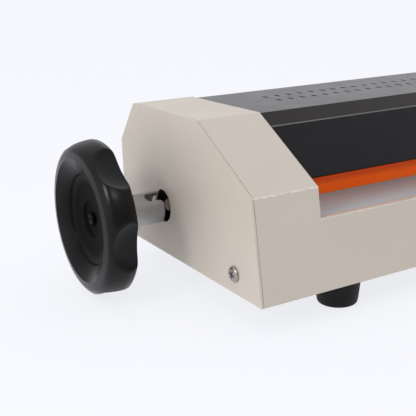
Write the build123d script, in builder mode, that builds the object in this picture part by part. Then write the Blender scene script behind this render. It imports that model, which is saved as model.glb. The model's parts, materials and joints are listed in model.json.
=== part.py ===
from build123d import *
from math import atan2, cos, pi, radians, sin, sqrt, tan
import os

os.makedirs("parts", exist_ok=True)

# Pouch laminator in a folded steel casing, with a push-on handwheel for clearing a jam.
# Millimetres, +Z up, front towards -Y, the handwheel end towards -X.
# The origin is under the middle of the whole outline, on the surface that the feet stand on.

# ---- driving dimensions -----------------------------------------------------------
casing_length = 488.0        # over both side plates
casing_depth = 200.0         # front bottom edge to rear face
casing_height = 109.3        # bottom edge to the flat top, without the feet
sheet = 1.5                  # steel sheet of the casing
seam = 0.3                   # gap between a side plate and the folded casing
fold_r = 1.6                 # outer radius of a folded edge
front_fold = (10.4, 69.5)    # distance behind the front edge, height above the bottom edge
top_front = (77.4, casing_height)
top_rear = (174.5, casing_height)
rear_fold = (casing_depth, 77.4)
left_end = 52.0              # width of the left end housing
right_end = 96.0             # width of the right end housing, which holds motor and controls
panel_top = 48.8             # height of the front panel's top fold and of the feed table
cover_gap = 0.4              # gap between a cover and an end housing

foot_height = 21.5
foot_top_d = 33.0
foot_bottom_d = 29.0
foot_from_end = 80.0
foot_from_front = 23.0

nip = 51.0                   # height of the feed path
nip_gap = 0.3                # the rollers stand this far apart with no pouch between them
roller_d = 28.0
core_d = 16.0
journal_d = 10.0
sleeve_length = 330.0        # feed width
rear_row = 131.5             # rear roller pair, behind the front edge
front_row = 95.5             # front roller pair

gear_module = 1.0
roller_teeth = 28
idler_teeth = 20
drive_teeth = 40
pinion_teeth = 28
gear_width = 8.0

wheel_d = 114.6
wheel_back = 46.0            # back of the handwheel, outside the left side plate
wheel_depth = 22.0
tube_d = 24.0
tube_bore = 10.0
tube_gap = 4.5               # the pulled-out tube ends this far outside the side plate
axle_hole_d = 25.0

# ---- frame ------------------------------------------------------------------------
screw_head = 2.4             # side screw head, proud of the right side plate
rear_proud = 2.0             # inlet flange, proud of the rear face
left_reach = wheel_back + wheel_depth
left_face = -(casing_length + screw_head - left_reach) / 2
front_edge = -(casing_depth + rear_proud) / 2
opening_right = casing_length - right_end
opening_length = opening_right - left_end
mid = left_end + opening_length / 2


def px(d):
    """X of a point d inside the left side plate's outer face."""
    return left_face + d


def py(s):
    """Y of a point s behind the front bottom edge."""
    return front_edge + s


def pz(h):
    """Z of a point h above the casing's bottom edge."""
    return foot_height + h


def across(d):
    """A sketch plane square to X: its axes are Y and Z."""
    return Plane.YZ.offset(px(d))


def side(points):
    """Side-view points (s, h) in the sketch plane's Y and Z."""
    return [(py(s), pz(h)) for s, h in points]


def axle_plane(d, s, h):
    """A sketch plane square to X with its origin on an axle line."""
    return Plane(origin=(px(d), py(s), pz(h)), x_dir=(0, 1, 0), z_dir=(1, 0, 0))


def save(part, name):
    part.label = name
    export_step(part, f"parts/{name}.step")


casing_outline = [(0, 0), front_fold, top_front, top_rear, rear_fold, (casing_depth, 0)]
slope = atan2(top_front[1] - front_fold[1], top_front[0] - front_fold[0])
front_lean = atan2(front_fold[0], front_fold[1])
axle_h = nip - roller_d / 2
upper_h = nip + nip_gap + roller_d / 2
row_lower = {"front": (front_row, axle_h), "rear": (rear_row, axle_h)}
row_upper = {"front": (front_row, upper_h), "rear": (rear_row, upper_h)}


# ---- casing -----------------------------------------------------------------------
def casing_face(inset):
    """The casing's side outline, shrunk by inset, with rounded folds."""
    with BuildSketch(Plane.XY) as face:
        with BuildLine():
            Polyline(*side(casing_outline), close=True)
        make_face()
        folds = face.vertices().sort_by(Axis.Y)[2:]
        fillet(folds, fold_r)
        if inset:
            offset(amount=-inset, kind=Kind.INTERSECTION)
    return face.sketch


outer_face = casing_face(0)
inner_face = casing_face(sheet)
wrap_start = sheet + seam
wrap_length = casing_length - 2 * wrap_start
exit_slot_low = 46.5
exit_slot_high = 57.5
rear_panel_top = 65.6
window = [(54, 5), (54, 88), (74, 99), (170, 99), (190, 78), (190, 5)]
wall_foot = 13.0             # height of the inner walls' lower edge

with BuildPart() as outer_casing:
    with BuildSketch(across(wrap_start)):
        add(outer_face)
    extrude(amount=wrap_length)
    # hollow, and open underneath for the bottom plate
    with BuildSketch(across(wrap_start)):
        add(inner_face)
    extrude(amount=wrap_length, mode=Mode.SUBTRACT)
    with BuildSketch(across(wrap_start)):
        with BuildLine():
            Polyline(*side([(1.9, -1), (1.9, 3), (198.1, 3), (198.1, -1)]), close=True)
        make_face()
    extrude(amount=wrap_length, mode=Mode.SUBTRACT)
    # between the end housings only the front and rear panels remain
    with BuildSketch(across(left_end)):
        with BuildLine():
            Polyline(*side([(-5, panel_top), (-5, 120), (210, 120), (210, rear_panel_top),
                            (150, rear_panel_top), (150, panel_top)]), close=True)
        make_face()
    extrude(amount=opening_length, mode=Mode.SUBTRACT)
    # the front panel's top edge is folded back
    fold_s = panel_top * tan(front_lean)
    with BuildSketch(across(left_end)):
        with BuildLine():
            Polyline(*side([(fold_s + 0.5, panel_top), (fold_s + 5.0, panel_top),
                            (fold_s + 5.0, panel_top - sheet), (fold_s + 0.3, panel_top - sheet)]),
                     close=True)
        make_face()
    extrude(amount=opening_length)
    # inner wall of each end housing, with a window for the roller frame
    for wall in (left_end - sheet, opening_right):
        with BuildSketch(across(wall)):
            add(inner_face)
            with BuildLine():
                Polyline(*side(window), close=True)
            make_face(mode=Mode.SUBTRACT)
            # the wall ends above the bottom plate
            with BuildLine():
                Polyline(*side([(-1, -1), (-1, wall_foot), (201, wall_foot), (201, -1)]), close=True)
            make_face(mode=Mode.SUBTRACT)
        extrude(amount=sheet)
    # welded strip inside the rear panel that the top cover is screwed to
    with BuildSketch(across(left_end)):
        with BuildLine():
            Polyline(*side([(197.1, 60), (197.1, 75), (198.5, 75), (198.5, 60)]), close=True)
        make_face()
    extrude(amount=opening_length)
    # exit slot
    with BuildSketch(across(left_end + 4)):
        with BuildLine():
            Polyline(*side([(190, exit_slot_low), (190, exit_slot_high), (210, exit_slot_high),
                            (210, exit_slot_low)]), close=True)
        make_face()
    extrude(amount=opening_length - 8, mode=Mode.SUBTRACT)

# cut-outs in the right end housing: control window on the slope, inlet on the rear panel
slope_mid = ((front_fold[0] + top_front[0]) / 2, (front_fold[1] + top_front[1]) / 2)
control_x = opening_right + right_end / 2
panel_plane = Plane(origin=(px(control_x), py(slope_mid[0]), pz(slope_mid[1])),
                    x_dir=(1, 0, 0), z_dir=(0, -sin(slope), cos(slope)))
inlet_x = opening_right + 52
inlet_h = 32
rear_plane = Plane(origin=(px(inlet_x), py(casing_depth), pz(inlet_h)),
                   x_dir=(-1, 0, 0), z_dir=(0, 1, 0))
with BuildPart(mode=Mode.PRIVATE) as window_cutter:
    with BuildSketch(panel_plane.offset(5)):
        Rectangle(68, 50)
    extrude(amount=-12)
with BuildPart(mode=Mode.PRIVATE) as inlet_cutter:
    with BuildSketch(rear_plane.offset(5)):
        Rectangle(28, 21)
        with Locations((-20, 0), (20, 0)):
            Circle(1.8)
    extrude(amount=-12)
with BuildPart(mode=Mode.PRIVATE) as cover_holes:
    for d in (left_end + 30, mid, opening_right - 30):
        with BuildSketch(Plane(origin=(px(d), py(195), pz(70)), x_dir=(1, 0, 0), z_dir=(0, 1, 0))):
            Circle(1.75)
        extrude(amount=8)
with outer_casing:
    add(window_cutter.part, mode=Mode.SUBTRACT)
    add(inlet_cutter.part, mode=Mode.SUBTRACT)
    add(cover_holes.part, mode=Mode.SUBTRACT)
save(outer_casing.part, "outer_casing")

side_screw_places = [(31.5, 13.8), (178, 13.8)]
for name, start, axle_hole in (("left_side_plate", 0, True),
                               ("right_side_plate", casing_length - sheet, False)):
    with BuildPart() as side_plate:
        with BuildSketch(across(start)):
            add(outer_face)
            with Locations(*side(side_screw_places)):
                Circle(2.2, mode=Mode.SUBTRACT)
            if axle_hole:
                with Locations(*side([row_lower["rear"]])):
                    Circle(axle_hole_d / 2, mode=Mode.SUBTRACT)
        extrude(amount=sheet)
    save(side_plate.part, name)

# bottom plate: a tray with turned-up edges that the side screws hold
tray_start = wrap_start + 0.2
tray_length = casing_length - 2 * tray_start
foot_places = [(d, s) for d in (foot_from_end, casing_length - foot_from_end)
               for s in (foot_from_front, casing_depth - foot_from_front)]
with BuildPart() as bottom_plate:
    with BuildSketch(across(tray_start)):
        with BuildLine():
            Polyline(*side([(2.2, 0), (197.8, 0), (197.8, 12), (196.3, 12), (196.3, sheet),
                            (5.5, sheet), (5.5, 12), (4.0, 12), (4.0, sheet), (2.2, sheet)]),
                     close=True)
        make_face()
    extrude(amount=tray_length)
    for end in (tray_start, casing_length - tray_start - sheet):
        with BuildSketch(across(end)):
            with BuildLine():
                Polyline(*side([(7, 0), (193, 0), (193, 22), (7, 22)]), close=True)
            make_face()
            with Locations(*side(side_screw_places)):
                Circle(1.8, mode=Mode.SUBTRACT)
        extrude(amount=sheet)
    # air slots and foot screw holes
    with BuildSketch(Plane.XY.offset(pz(0))):
        with Locations((px(mid), py(80))):
            with GridLocations(24, 60, 13, 2):
                SlotOverall(14, 3)
    extrude(amount=sheet, mode=Mode.SUBTRACT)
    # pressed-in threaded collars for the foot screws
    with BuildSketch(Plane.XY.offset(pz(sheet))):
        with Locations(*[(px(d), py(s)) for d, s in foot_places]):
            RegularPolygon(4.6, 6)
    extrude(amount=4)
    with BuildSketch(Plane.XY.offset(pz(0))):
        with Locations(*[(px(d), py(s)) for d, s in foot_places]):
            Circle(2.5)
    extrude(amount=sheet + 4, mode=Mode.SUBTRACT)
save(bottom_plate.part, "bottom_plate")

# feet, each held by a screw from below
with BuildPart() as feet:
    for d, s in foot_places:
        with BuildSketch(Plane(origin=(px(d), py(s), 0), x_dir=(1, 0, 0), z_dir=(0, -1, 0))):
            with BuildLine():
                Polyline((2.7, foot_height), (foot_top_d / 2, foot_height),
                         (foot_top_d / 2, foot_height - 2.5), (foot_bottom_d / 2, 1.5),
                         (foot_bottom_d / 2 - 1.5, 0), (8, 0), (7, 10), (2.7, 10), close=True)
            make_face()
        revolve(axis=Axis((px(d), py(s), 0), (0, 0, 1)))
save(feet.part, "feet")

with BuildPart() as foot_screws:
    for d, s in foot_places:
        with BuildSketch(Plane.XY.offset(10 - 3.4)):
            with Locations((px(d), py(s))):
                Circle(4.6)
        extrude(amount=3.4)
        with BuildSketch(Plane.XY.offset(10 - 3.4)):
            with Locations((px(d), py(s))):
                Rectangle(5.4, 1.1)
                Rectangle(1.1, 5.4)
        extrude(amount=1.6, mode=Mode.SUBTRACT)
        with BuildSketch(Plane.XY.offset(10)):
            with Locations((px(d), py(s))):
                Circle(2.5)
        extrude(amount=foot_height - 10 + sheet + 6)
save(foot_screws.part, "foot_screws")



# ---- fasteners with a domed head and a cross recess -------------------------------
def domed_screw(plane, head_d, head_h, shank_d, shank_length):
    """A cross-recess screw whose head stands on plane and whose shank goes the other way."""
    with BuildPart(plane, mode=Mode.PRIVATE) as screw:
        Cylinder(head_d / 2, head_h, align=(Align.CENTER, Align.CENTER, Align.MIN))
        top = screw.faces().sort_by(plane_axis(plane))[-1].edges()
        fillet(top, min(head_h * 0.8, head_d * 0.2))
        with Locations((0, 0, head_h)):
            Box(head_d * 0.52, head_d * 0.12, head_h, mode=Mode.SUBTRACT)
            Box(head_d * 0.12, head_d * 0.52, head_h, mode=Mode.SUBTRACT)
        Cylinder(shank_d / 2, shank_length, align=(Align.CENTER, Align.CENTER, Align.MAX))
    return screw.part


def plane_axis(plane):
    return Axis(plane.origin, plane.z_dir)


with BuildPart() as side_screws:
    for s, h in side_screw_places:
        left_seat = Plane(origin=(px(0), py(s), pz(h)), x_dir=(0, 0.94, 0.34), z_dir=(-1, 0, 0))
        right_seat = Plane(origin=(px(casing_length), py(s), pz(h)), x_dir=(0, 1, 0), z_dir=(1, 0, 0))
        add(domed_screw(left_seat, 11, screw_head, 3.6, 8))
        add(domed_screw(right_seat, 11, screw_head, 3.6, 8))
save(side_screws.part, "side_screws")

# ---- covers and guides between the end housings -----------------------------------
cover_drop = 0.7             # cover top below the housings' tops
cover_start = left_end + cover_gap
cover_length = opening_length - 2 * cover_gap
crease_s = 65.0
hood_edge_s = 19.5
slot_pitch = 11.3
slot_count = 23
slot_rows = (118.0, 136.3)
slot_size = (2.3, 7.4)


def slope_h(s, below):
    """Height at s of the front slope's line, moved down square to the slope by below."""
    return front_fold[1] + (s - front_fold[0]) * tan(slope) - below / cos(slope)


def cover_line(below):
    """Outline of the covers from the crease over the top to the rear skirt's foot."""
    top = casing_height - cover_drop - below
    drop = cover_drop + below
    turn_s = front_fold[0] + (top - slope_h(front_fold[0], drop + 0.4)) / tan(slope)
    return [(crease_s, slope_h(crease_s, drop + 0.4)), (turn_s, top), (170 + below * 0.2, top),
            (199.8 - below, 77 + below * 0.5), (199.8 - below, rear_panel_top + 0.4)]


cover_sheet = 1.2
cover_points = cover_line(0) + list(reversed(cover_line(cover_sheet)))
cover_screw_places = [left_end + 30, mid, opening_right - 30]

with BuildPart() as top_cover:
    with BuildSketch(across(cover_start)):
        with BuildLine():
            Polyline(*side(cover_points), close=True)
        make_face()
    extrude(amount=cover_length)
    # joggled lip under the crease that the hood lies on
    with BuildSketch(across(cover_start)):
        low = cover_drop + 0.4 + cover_sheet
        with BuildLine():
            Polyline(*side([(crease_s + 3, slope_h(crease_s + 3, low - 0.3)),
                            (crease_s, slope_h(crease_s, low)),
                            (crease_s - 9, slope_h(crease_s - 9, low)),
                            (crease_s - 9, slope_h(crease_s - 9, low + 1.2)),
                            (crease_s + 3, slope_h(crease_s + 3, low + 1.2))]), close=True)
        make_face()
    extrude(amount=cover_length)
    # two rows of air slots
    with BuildSketch(Plane.XY.offset(pz(casing_height - 4))):
        with Locations((px(mid), py(sum(slot_rows) / 2))):
            with GridLocations(slot_pitch, slot_rows[1] - slot_rows[0], slot_count, 2):
                SlotOverall(slot_size[1], slot_size[0], rotation=90)
    extrude(amount=8, mode=Mode.SUBTRACT)
    for d in cover_screw_places:
        with BuildSketch(Plane(origin=(px(d), py(197), pz(70)), x_dir=(1, 0, 0), z_dir=(0, 1, 0))):
            Circle(1.75)
        extrude(amount=6, mode=Mode.SUBTRACT)
save(top_cover.part, "top_cover")

with BuildPart() as cover_screws:
    for d in cover_screw_places:
        seat = Plane(origin=(px(d), py(199.8), pz(70)), x_dir=(1, 0, 0), z_dir=(0, 1, 0))
        add(domed_screw(seat, 7, 1.8, 3, 6))
save(cover_screws.part, "cover_screws")

# hood: the smooth lower panel on the slope
hood_drop = cover_drop + 0.4
hood_sheet = 1.2
with BuildPart() as front_hood:
    with BuildSketch(across(cover_start)):
        with BuildLine():
            Polyline(*side([
                (crease_s - 0.4, slope_h(crease_s - 0.4, hood_drop)),
                (hood_edge_s, slope_h(hood_edge_s, hood_drop)),
                (hood_edge_s + 0.8, slope_h(hood_edge_s, hood_drop) - 0.9),
                (crease_s - 0.4, slope_h(crease_s - 0.4, hood_drop + hood_sheet))]), close=True)
        make_face()
    extrude(amount=cover_length)
save(front_hood.part, "front_hood")

# entry guide: a bright curved lip from the hood's edge down to the feed slot
guide_top_h = slope_h(hood_edge_s, hood_drop) - 2.8
guide_sheet = 1.4
lip_s = 38.5
lip_h = 53.8
with BuildPart() as entry_guide:
    with BuildSketch(across(cover_start)):
        with BuildLine() as guide_line:
            face_line = Spline((py(hood_edge_s + 1.0), pz(guide_top_h)), (py(32.0), pz(67.0)),
                               (py(lip_s), pz(lip_h + 2.0)),
                               tangents=[(1, -0.22), (0.05, -1)])
            lip = TangentArc(face_line @ 1, (py(lip_s + 2.1), pz(lip_h)), tangent=face_line % 1)
            run = Line(lip @ 1, (py(55.0), pz(lip_h - 0.4)))
            back = Line(run @ 1, (py(55.0), pz(lip_h - 0.4 + guide_sheet)))
            run_top = Line(back @ 1, (py(lip_s + 3.0), pz(lip_h + guide_sheet)))
            inner_line = Spline(run_top @ 1, (py(33.4), pz(67.6)),
                                (py(hood_edge_s + 1.3), pz(guide_top_h + guide_sheet)),
                                tangents=[(-0.6, 1), (-1, 0.22)])
            Line(inner_line @ 1, face_line @ 0)
        make_face()
    extrude(amount=cover_length)
save(entry_guide.part, "entry_guide")

# feed table behind the front panel's fold, with a turned-down rear edge
table_s = fold_s + 5.0
with BuildPart() as feed_table:
    with BuildSketch(across(cover_start)):
        with BuildLine():
            Polyline(*side([(table_s, panel_top), (56.5, panel_top), (57.3, panel_top - 0.9),
                            (57.3, 36), (56.1, 36), (56.1, panel_top - 1.2),
                            (table_s, panel_top - 1.2)]), close=True)
        make_face()
    extrude(amount=cover_length)
save(feed_table.part, "feed_table")

# exit guide: two flared sheets joined by end plates, from the rear rollers to the exit slot
exit_start = rear_row + 16.5
exit_end = 197
exit_inset = 6.0
exit_low = 48.4
exit_high = 54.4
with BuildPart() as exit_guide:
    for low, flare in ((exit_low, -1), (exit_high, 1)):
        high = low + 1.0
        with BuildSketch(across(left_end + exit_inset)):
            with BuildLine():
                Polyline(*side([(exit_start, low + flare), (exit_start + 5, low),
                                (exit_end, low), (exit_end, high), (exit_start + 5, high),
                                (exit_start, high + flare)]), close=True)
            make_face()
        extrude(amount=opening_length - 2 * exit_inset)
    for end in (left_end + exit_inset, opening_right - exit_inset - 1):
        with BuildSketch(across(end)):
            with BuildLine():
                Polyline(*side([(exit_start + 5, exit_low - 8), (exit_start + 5, exit_high + 9),
                                (exit_end - 12, exit_high + 9), (exit_end - 12, exit_low - 8)]),
                         close=True)
            make_face()
        extrude(amount=1)
save(exit_guide.part, "exit_guide")


# ---- roller frame -----------------------------------------------------------------
frame_sheet = 2.5
left_frame_d = left_end - 8.0
right_frame_d = opening_right + 8.0 - frame_sheet
frame_starts = {"left_side_frame": left_frame_d, "right_side_frame": right_frame_d}
frame_outline = [(58, sheet), (58, 78), (66, 88), (158, 88), (158, sheet)]
block_w = 14.0               # bearing block between the slot's sides
block_h = 16.0
block_gap = 0.3
lift = 1.0                   # how far an upper roller lifts over a thick pouch
bush_d = 14.0
strap_h = 88.0
tie_places = [(64, 10), (151, 10), (151, 80)]
tie_d = 8.0

for name, start in frame_starts.items():
    outward = -1 if name.startswith("left") else 1
    with BuildPart() as side_frame:
        with BuildSketch(across(start)):
            with BuildLine():
                Polyline(*side(frame_outline), close=True)
            make_face()
            with Locations(*side(row_lower.values())):
                Circle(bush_d / 2, mode=Mode.SUBTRACT)
            with Locations(*side(tie_places)):
                Circle(2.6, mode=Mode.SUBTRACT)
            for s, h in row_upper.values():
                slot_low = h - block_h / 2 - block_gap
                with Locations(*side([(s, (slot_low + strap_h + 2) / 2)])):
                    Rectangle(block_w + 2 * block_gap, strap_h + 2 - slot_low, mode=Mode.SUBTRACT)
        extrude(amount=frame_sheet)
        # foot flange screwed down to the bottom plate
        foot_start = start - 12 if outward < 0 else start + frame_sheet
        with BuildSketch(across(foot_start)):
            with BuildLine():
                Polyline(*side([(58, sheet), (58, 4), (158, 4), (158, sheet)]), close=True)
            make_face()
        extrude(amount=12)
    save(side_frame.part, name)

with BuildPart() as tie_rods:
    for s, h in tie_places:
        with BuildSketch(axle_plane(left_frame_d + frame_sheet, s, h)):
            Circle(tie_d / 2)
        extrude(amount=right_frame_d - left_frame_d - frame_sheet)
        with BuildSketch(axle_plane(left_frame_d - 2, s, h)):
            Circle(2.5)
        extrude(amount=right_frame_d - left_frame_d + frame_sheet + 4)
save(tie_rods.part, "tie_rods")

# flanged bushes for the lower journals
running_gap = 0.05
with BuildPart() as lower_bushes:
    for s, h in row_lower.values():
        for start, flange_start in ((left_frame_d, left_frame_d + frame_sheet),
                                    (right_frame_d, right_frame_d - 1.5)):
            with BuildSketch(axle_plane(min(start, flange_start), s, h)):
                Circle(bush_d / 2)
                Circle(journal_d / 2 + running_gap, mode=Mode.SUBTRACT)
            extrude(amount=frame_sheet + 1.5)
            with BuildSketch(axle_plane(flange_start, s, h)):
                Circle(bush_d / 2 + 2)
                Circle(bush_d / 2, mode=Mode.SUBTRACT)
            extrude(amount=1.5)
save(lower_bushes.part, "lower_bushes")

# bearing blocks of the upper rollers: each slides in its slot and is kept by its cheeks
for row, (s, h) in row_upper.items():
    with BuildPart() as blocks:
        for start in frame_starts.values():
            with BuildSketch(across(start - block_gap)):
                with Locations(*side([(s, h)])):
                    Rectangle(block_w, block_h)
                    Circle(journal_d / 2 + running_gap, mode=Mode.SUBTRACT)
            extrude(amount=frame_sheet + 2 * block_gap)
            for cheek in (start - block_gap - 1.6, start + frame_sheet + block_gap):
                with BuildSketch(across(cheek)):
                    with Locations(*side([(s, h)])):
                        Rectangle(block_w + 5, block_h - 1)
                        Circle(journal_d / 2 + running_gap, mode=Mode.SUBTRACT)
                extrude(amount=1.6)
    save(blocks.part, f"{row}_bearing_blocks")

# straps over the slots carry the tops of the pressure springs
with BuildPart() as spring_straps:
    for start in frame_starts.values():
        with BuildSketch(Plane.XY.offset(pz(strap_h))):
            with BuildLine():
                x0, x1 = px(start - 5), px(start + frame_sheet + 5)
                Polyline((x0, py(68)), (x1, py(68)), (x1, py(157)), (x0, py(157)), close=True)
            make_face()
        extrude(amount=2)
save(spring_straps.part, "spring_straps")

spring_wire = 1.2
spring_r = 4.0
spring_low = upper_h + block_h / 2 + spring_wire / 2
spring_high = strap_h - spring_wire / 2
for row, (s, h) in row_upper.items():
    with BuildPart() as springs:
        for start in frame_starts.values():
            base = (px(start + frame_sheet / 2), py(s), pz(spring_low))
            height = spring_high - spring_low
            coil = Helix(pitch=height / 4.5, height=height, radius=spring_r, center=base)
            with BuildSketch(Plane(origin=coil @ 0, z_dir=coil % 0)):
                Circle(spring_wire / 2)
            sweep(path=coil, is_frenet=True)
    save(springs.part, f"{row}_pressure_springs")


# ---- rollers ----------------------------------------------------------------------
sleeve_start = left_end + (opening_length - sleeve_length) / 2
core_start = sleeve_start - 2.0
core_length = sleeve_length + 4.0
gear_start = 23.0            # roller gears, inside the left end housing
drive_gear_start = right_frame_d + frame_sheet + 6.0
axle_end_d = 9.4             # the end that the handwheel's tube goes over
axle_end_start = 3.6
pin_d = 5.0
pin_from_face = 10.0
pin_lean = radians(30)       # the cross pin's turn from upright, with its top to the front
pin_axis = (0, -sin(pin_lean), cos(pin_lean))


def pin_plane(d, s, h):
    """Plane through the axle line at d, square to the cross pin."""
    return Plane(origin=(px(d), py(s), pz(h)), x_dir=(1, 0, 0), z_dir=pin_axis)


for rows, level in ((row_lower, "lower"), (row_upper, "upper")):
    for row, (s, h) in rows.items():
        driven = (row, level) == ("rear", "lower")
        left_tip = gear_start - 5.0 if not driven else gear_start - 3.0
        right_tip = drive_gear_start + 11.0 if driven else drive_gear_start - 1.5
        with BuildPart() as shaft:
            with BuildSketch(axle_plane(left_tip, s, h)):
                Circle(journal_d / 2)
            extrude(amount=right_tip - left_tip)
            with BuildSketch(axle_plane(core_start, s, h)):
                Circle(core_d / 2)
            extrude(amount=core_length)
            if driven:
                with BuildSketch(axle_plane(axle_end_start, s, h)):
                    Circle(axle_end_d / 2)
                extrude(amount=left_tip - axle_end_start)
                tip = shaft.faces().sort_by(Axis.X)[0].edges()
                chamfer(tip, 0.8)
                with BuildSketch(pin_plane(pin_from_face, s, h)):
                    Circle(pin_d / 2)
                extrude(amount=8, both=True, mode=Mode.SUBTRACT)
        save(shaft.part, f"{row}_{level}_shaft")
        with BuildPart() as sleeve:
            with BuildSketch(axle_plane(sleeve_start, s, h)):
                Circle(roller_d / 2)
                Circle(core_d / 2, mode=Mode.SUBTRACT)
            extrude(amount=sleeve_length)
            ends = sleeve.edges().filter_by(GeomType.CIRCLE).group_by(SortBy.RADIUS)[-1]
            chamfer(ends, 0.6)
        save(sleeve.part, f"{row}_{level}_sleeve")

rear_s, rear_h = row_lower["rear"]
with BuildPart() as drive_pin:
    with BuildSketch(pin_plane(pin_from_face, rear_s, rear_h)):
        Circle(pin_d / 2)
    extrude(amount=8, both=True)
    chamfer(drive_pin.edges().filter_by(GeomType.CIRCLE), 0.4)
save(drive_pin.part, "drive_pin")


# ---- gears ------------------------------------------------------------------------
pressure_angle = radians(20)
backlash = 0.24


def involute(angle):
    return tan(angle) - angle


def gear_outline(teeth, turn):
    """Points of a spur gear's outline, with one tooth centred at the angle turn."""
    pitch_r = gear_module * teeth / 2
    base_r = pitch_r * cos(pressure_angle)
    root_r = pitch_r - 1.25 * gear_module
    tip_r = pitch_r + 0.95 * gear_module
    half_pitch_tooth = (pi * gear_module / 2 - backlash) / 2 / pitch_r
    start_r = max(base_r, root_r)
    flank = [(root_r, start_r)]
    for step in range(4):
        r = start_r + (tip_r - start_r) * step / 3
        flank.append((r, r))
    points = []
    for tooth in range(teeth):
        centre = turn + 2 * pi * tooth / teeth
        rising = []
        for r, flank_r in flank:
            half = half_pitch_tooth + involute(pressure_angle)
            half -= involute(flank_pressure(base_r, flank_r))
            rising.append((r, half))
        if root_r >= base_r:
            rising = rising[1:]
        for r, half in rising:
            points.append((r * cos(centre - half), r * sin(centre - half)))
        for r, half in reversed(rising):
            points.append((r * cos(centre + half), r * sin(centre + half)))
    return points


def flank_pressure(base_r, r):
    """The involute's pressure angle at radius r."""
    return atan2(sqrt(max(r * r - base_r * base_r, 0.0)), base_r)


def meshed(turn, teeth, place, other_teeth, other_place):
    """The turn that puts the other gear's tooth gap on this gear's tooth."""
    towards = atan2(other_place[1] - place[1], other_place[0] - place[0])
    ahead = (turn - towards) * teeth
    return towards + pi + (pi - ahead) / other_teeth


def gear(name, teeth, turn, place, start, bore_r, hub_r, hub_length):
    """A spur gear on an axle line, with a hub on its +X side."""
    with BuildPart() as wheel:
        with BuildSketch(axle_plane(start, *place)):
            with BuildLine():
                Polyline(*gear_outline(teeth, turn), close=True)
            make_face()
        extrude(amount=gear_width)
        with BuildSketch(axle_plane(start + gear_width, *place)):
            Circle(hub_r)
        extrude(amount=hub_length)
        with BuildSketch(axle_plane(start, *place)):
            Circle(bore_r)
        extrude(amount=gear_width + hub_length, mode=Mode.SUBTRACT)
    save(wheel.part, name)


row_gap = rear_row - front_row
idler_reach = gear_module * (roller_teeth + idler_teeth) / 2 + 0.1
idler_place = (front_row + row_gap / 2, axle_h - sqrt(idler_reach ** 2 - (row_gap / 2) ** 2))
rear_lower_turn = 0.0
rear_upper_turn = meshed(rear_lower_turn, roller_teeth, row_lower["rear"],
                         roller_teeth, row_upper["rear"])
idler_turn = meshed(rear_lower_turn, roller_teeth, row_lower["rear"], idler_teeth, idler_place)
front_lower_turn = meshed(idler_turn, idler_teeth, idler_place, roller_teeth, row_lower["front"])
front_upper_turn = meshed(front_lower_turn, roller_teeth, row_lower["front"],
                          roller_teeth, row_upper["front"])
journal_r = journal_d / 2
gear("rear_lower_gear", roller_teeth, rear_lower_turn, row_lower["rear"], gear_start,
     journal_r, 8, 4)
gear("rear_upper_gear", roller_teeth, rear_upper_turn, row_upper["rear"], gear_start,
     journal_r, 8, 4)
gear("front_lower_gear", roller_teeth, front_lower_turn, row_lower["front"], gear_start,
     journal_r, 8, 4)
gear("front_upper_gear", roller_teeth, front_upper_turn, row_upper["front"], gear_start,
     journal_r, 8, 4)
stud_d = 6.0
gear("idler_gear", idler_teeth, idler_turn, idler_place, gear_start, stud_d / 2 + running_gap,
     5.5, 3)

with BuildPart() as idler_stud:
    with BuildSketch(axle_plane(gear_start - 2, *idler_place)):
        Circle(stud_d / 2)
    extrude(amount=left_frame_d - gear_start + 2)
    with BuildSketch(axle_plane(gear_start + gear_width + 3.4, *idler_place)):
        Circle(5)
    extrude(amount=left_frame_d - gear_start - gear_width - 3.4)
    with BuildSketch(axle_plane(gear_start - 3.2, *idler_place)):
        Circle(4.6)
    extrude(amount=2.8)
save(idler_stud.part, "idler_stud")

# gear motor in the right end housing
pinion_reach = gear_module * (drive_teeth + pinion_teeth) / 2 + 0.1
pinion_place = (rear_row, axle_h + pinion_reach)
drive_turn = 0.0
pinion_turn = meshed(drive_turn, drive_teeth, row_lower["rear"], pinion_teeth, pinion_place)
gear("drive_gear", drive_teeth, drive_turn, row_lower["rear"], drive_gear_start, journal_r, 9, 3)
motor_face = drive_gear_start + 14.0
motor_shaft_r = 3.5
motor_d = 58.0
motor_centre = (rear_row - 10, 71.0)
gear("motor_pinion", pinion_teeth, pinion_turn, pinion_place, drive_gear_start,
     motor_shaft_r, 6, 3)
with BuildPart() as motor_shaft:
    with BuildSketch(axle_plane(drive_gear_start - 1, *pinion_place)):
        Circle(motor_shaft_r)
    extrude(amount=motor_face - drive_gear_start + 6)
save(motor_shaft.part, "motor_shaft")

motor_length = 48.0
with BuildPart() as gear_motor:
    with BuildSketch(axle_plane(motor_face, *motor_centre)):
        Circle(motor_d / 2)
        Rectangle(motor_d + 16, 13)
    extrude(amount=1.6)
    with BuildSketch(axle_plane(motor_face + 1.6, *motor_centre)):
        Circle(motor_d / 2)
    extrude(amount=18)
    with BuildSketch(axle_plane(motor_face + 19.6, *motor_centre)):
        Circle(motor_d / 2 - 1.5)
    extrude(amount=motor_length - 19.6)
    back_rim = gear_motor.faces().sort_by(Axis.X)[-1].edges()
    fillet(back_rim, 2)
    with BuildSketch(axle_plane(motor_face, *pinion_place)):
        Circle(motor_shaft_r + running_gap)
    extrude(amount=8, mode=Mode.SUBTRACT)
    with BuildSketch(axle_plane(motor_face, *motor_centre)):
        with Locations((-motor_d / 2 - 4, 0), (motor_d / 2 + 4, 0)):
            Circle(2.2)
    extrude(amount=1.6, mode=Mode.SUBTRACT)
save(gear_motor.part, "gear_motor")

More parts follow.
